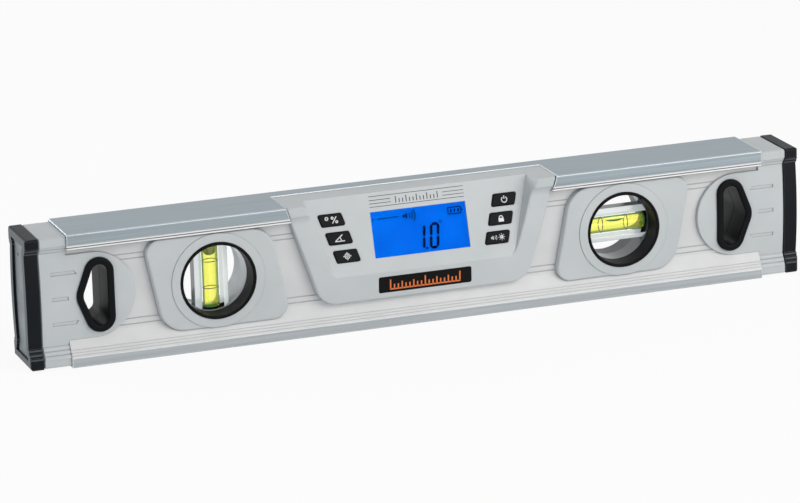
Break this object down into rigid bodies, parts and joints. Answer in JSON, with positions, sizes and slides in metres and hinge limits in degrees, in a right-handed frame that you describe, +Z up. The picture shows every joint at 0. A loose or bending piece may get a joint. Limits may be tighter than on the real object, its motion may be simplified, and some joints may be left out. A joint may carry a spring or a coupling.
{
  "type": "digital spirit level",
  "caption": "Aluminium box-section spirit level with a tilted digital angle display, push buttons, block vials for level and plumb, finger grips and rubber end caps.",
  "frame": {"origin": "middle of the aluminium base face, on the plane that the level rests on", "axes": "+X along the rail to the right as seen from the display, +Y from the display to the back, +Z up"},
  "size_m": [0.4, 0.0328, 0.066],
  "materials": {
    "coated_aluminium": "silver powder coat on the web, bare milled top and base faces",
    "silver_plastic": "fine satin grain, silver grey",
    "black_rubber": "matt black, rubbed grey on the end faces",
    "black_plastic": "black, soft sheen",
    "ring_plastic": "black, polished lip",
    "clear_acrylic": "clear, polished",
    "vial_liquid": "clear yellow-green liquid",
    "bubble_air": "clear",
    "mark_ink": "dark bands",
    "clear_window": "clear, polished",
    "display_cell": "lit blue, dark segments",
    "backlight_panel": "white diffuser",
    "key_rubber": "black, matt, white signs",
    "plate_lacquer": "black lacquer",
    "board_laminate": "green solder mask",
    "chip_case": "black moulded cases",
    "cell_case": "plain grey wrap",
    "contact_steel": "nickel plated",
    "screw_steel": "zinc plated"
  },
  "bodies": {
    "level_body": {"profile": "coated_aluminium", "end_block_left": "silver_plastic", "end_block_right": "silver_plastic", "plumb_bezel_front": "silver_plastic", "plumb_bezel_rear": "silver_plastic", "level_bezel_front": "silver_plastic", "level_bezel_rear": "silver_plastic", "module_housing": "silver_plastic", "rear_cover": "silver_plastic", "end_cap_left": "black_rubber", "end_cap_right": "black_rubber", "grip_liner_front_left": "black_plastic", "grip_liner_front_right": "black_plastic", "grip_liner_rear_left": "black_plastic", "grip_liner_rear_right": "black_plastic", "plumb_ring_front": "ring_plastic", "plumb_ring_rear": "ring_plastic", "level_ring_front": "ring_plastic", "level_ring_rear": "ring_plastic", "plumb_vial": "clear_acrylic", "level_vial": "clear_acrylic", "plumb_liquid": "vial_liquid", "level_liquid": "vial_liquid", "plumb_marks": "mark_ink", "level_marks": "mark_ink", "display_window": "clear_window", "display_glass": "display_cell", "display_backlight": "backlight_panel", "name_plate": "plate_lacquer", "circuit_board": "board_laminate", "tilt_sensor": "chip_case", "processor": "chip_case", "buzzer": "chip_case", "tact_switches": "chip_case", "battery_upper": "cell_case", "battery_lower": "cell_case", "battery_contacts": "contact_steel", "battery_springs": "contact_steel", "module_screws": "screw_steel", "bezel_screws": "screw_steel"},
    "button_unit": {"button_unit": "key_rubber"},
    "button_reference": {"button_reference": "key_rubber"},
    "button_calibrate": {"button_calibrate": "key_rubber"},
    "button_power": {"button_power": "key_rubber"},
    "button_hold": {"button_hold": "key_rubber"},
    "button_sound_light": {"button_sound_light": "key_rubber"},
    "battery_cover": {"battery_cover": "silver_plastic"},
    "plumb_bubble": {"plumb_bubble": "bubble_air"},
    "level_bubble": {"level_bubble": "bubble_air"}
  },
  "joints": [
    {"name": "press_unit", "type": "slide", "parent": "level_body", "child": "button_unit", "axis": [0, 0.9588, -0.284], "range_m": [0, 0.0005], "stiffness_N_per_m": 1500, "springref_m": -0.0003},
    {"name": "press_reference", "type": "slide", "parent": "level_body", "child": "button_reference", "axis": [0, 0.9588, -0.284], "range_m": [0, 0.0005], "stiffness_N_per_m": 1500, "springref_m": -0.0003},
    {"name": "press_calibrate", "type": "slide", "parent": "level_body", "child": "button_calibrate", "axis": [0, 0.9588, -0.284], "range_m": [0, 0.0005], "stiffness_N_per_m": 1500, "springref_m": -0.0003},
    {"name": "press_power", "type": "slide", "parent": "level_body", "child": "button_power", "axis": [0, 0.9588, -0.284], "range_m": [0, 0.0005], "stiffness_N_per_m": 1500, "springref_m": -0.0003},
    {"name": "press_hold", "type": "slide", "parent": "level_body", "child": "button_hold", "axis": [0, 0.9588, -0.284], "range_m": [0, 0.0005], "stiffness_N_per_m": 1500, "springref_m": -0.0003},
    {"name": "press_sound_light", "type": "slide", "parent": "level_body", "child": "button_sound_light", "axis": [0, 0.9588, -0.284], "range_m": [0, 0.0005], "stiffness_N_per_m": 1500, "springref_m": -0.0003},
    {"name": "lift_battery_cover", "type": "slide", "parent": "level_body", "child": "battery_cover", "axis": [0, 1, 0], "range_m": [0, 0.03]},
    {"name": "float_plumb_bubble", "type": "slide", "parent": "level_body", "child": "plumb_bubble", "axis": [0, 0, 1], "range_m": [-0.0245, 0], "stiffness_N_per_m": 1, "springref_m": 0.03},
    {"name": "float_level_bubble", "type": "slide", "parent": "level_body", "child": "level_bubble", "axis": [1, 0, 0], "range_m": [-0.0095, 0.0095]}
  ]
}
